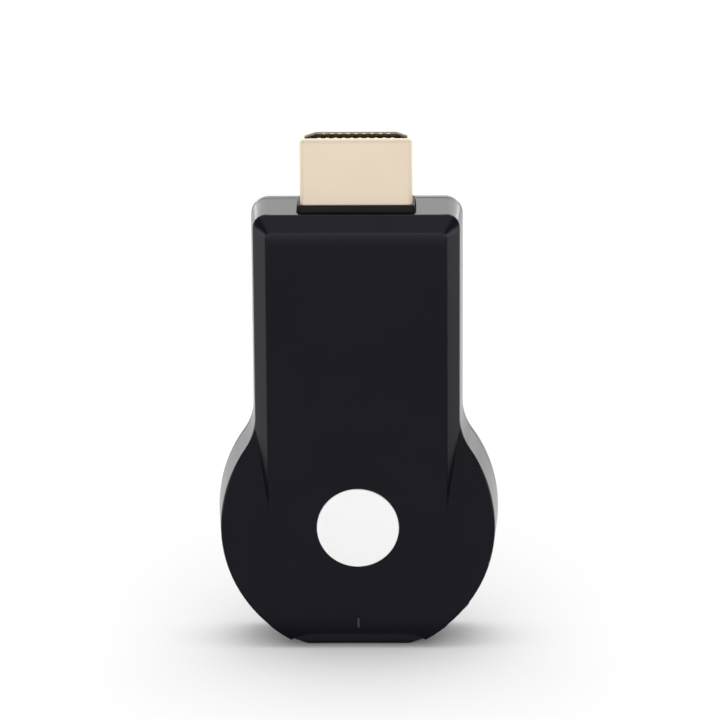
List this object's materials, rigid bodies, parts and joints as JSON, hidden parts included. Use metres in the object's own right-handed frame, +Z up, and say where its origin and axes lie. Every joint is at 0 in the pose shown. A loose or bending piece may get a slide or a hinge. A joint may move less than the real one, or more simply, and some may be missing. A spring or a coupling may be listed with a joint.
{
  "type": "wireless display dongle",
  "caption": "Key-shaped black wireless display dongle with a gold video plug on top, a blank white disc on its face, a power socket in its flat foot and a mode button on its rim.",
  "frame": {"origin": "middle of the flat end that it stands on, plug upwards", "axes": "+X to the right seen from the face, +Y from the face to the back, +Z up towards the plug"},
  "size_m": [0.0354, 0.01, 0.0657],
  "materials": {
    "housing_black": "moulded black, satin gloss",
    "badge_white": "plain white, satin",
    "circuit_board": "green solder mask",
    "plug_gold": "pale gold plate",
    "insulator_black": "moulded black",
    "contact_gold": "gold flash",
    "collar_black": "moulded black",
    "tinned_steel": "tin plate",
    "button_black": "moulded black, satin",
    "stem_white": "natural nylon",
    "clear_guide": "clear moulded plastic",
    "led_yellow": "clear resin over phosphor",
    "screw_steel": "zinc plate",
    "chip_black": "moulded epoxy",
    "pad_grey": "soft silicone",
    "spreader_aluminium": "rolled",
    "radio_board": "blue solder mask",
    "antenna_ceramic": "fired ceramic",
    "ferrite_grey": "moulded ferrite",
    "tantalum_amber": "moulded epoxy",
    "passive_ceramic": "fired ceramic"
  },
  "bodies": {
    "housing": {"front_cover": "housing_black", "rear_cover": "housing_black", "face_badge": "badge_white", "main_board": "circuit_board", "plug_shell": "plug_gold", "plug_insulator": "insulator_black", "plug_front_contacts": "contact_gold", "plug_back_contacts": "contact_gold", "plug_collar": "collar_black", "power_socket_shell": "tinned_steel", "power_socket_tongue": "insulator_black", "power_socket_contacts": "contact_gold", "switch_body": "insulator_black", "switch_plate": "tinned_steel", "light_guide": "clear_guide", "indicator_led": "led_yellow", "board_screws": "screw_steel", "processor_chip": "chip_black", "memory_chip": "chip_black", "thermal_pad": "pad_grey", "heat_spreader": "spreader_aluminium", "radio_module_board": "radio_board", "radio_shield_can": "tinned_steel", "radio_chip": "chip_black", "chip_antenna": "antenna_ceramic", "power_inductors": "ferrite_grey", "tantalum_capacitors": "tantalum_amber", "flash_chip": "chip_black", "crystals": "tinned_steel", "voltage_regulators": "chip_black", "small_passives": "passive_ceramic"},
    "button": {"mode_button": "button_black"},
    "stem": {"switch_stem": "stem_white"}
  },
  "joints": [
    {"name": "button_press", "type": "slide", "parent": "housing", "child": "button", "axis": [-0.7071, 0, 0.7071], "range_m": [0, 0.0003], "stiffness_N_per_m": 2000, "springref_m": -0.0003},
    {"name": "stem_press", "type": "slide", "parent": "housing", "child": "stem", "axis": [-0.7071, 0, 0.7071], "range_m": [0, 0.0003]}
  ],
  "couplings": [
    {"joint": "stem_press", "follows": "button_press", "ratio": 1}
  ]
}
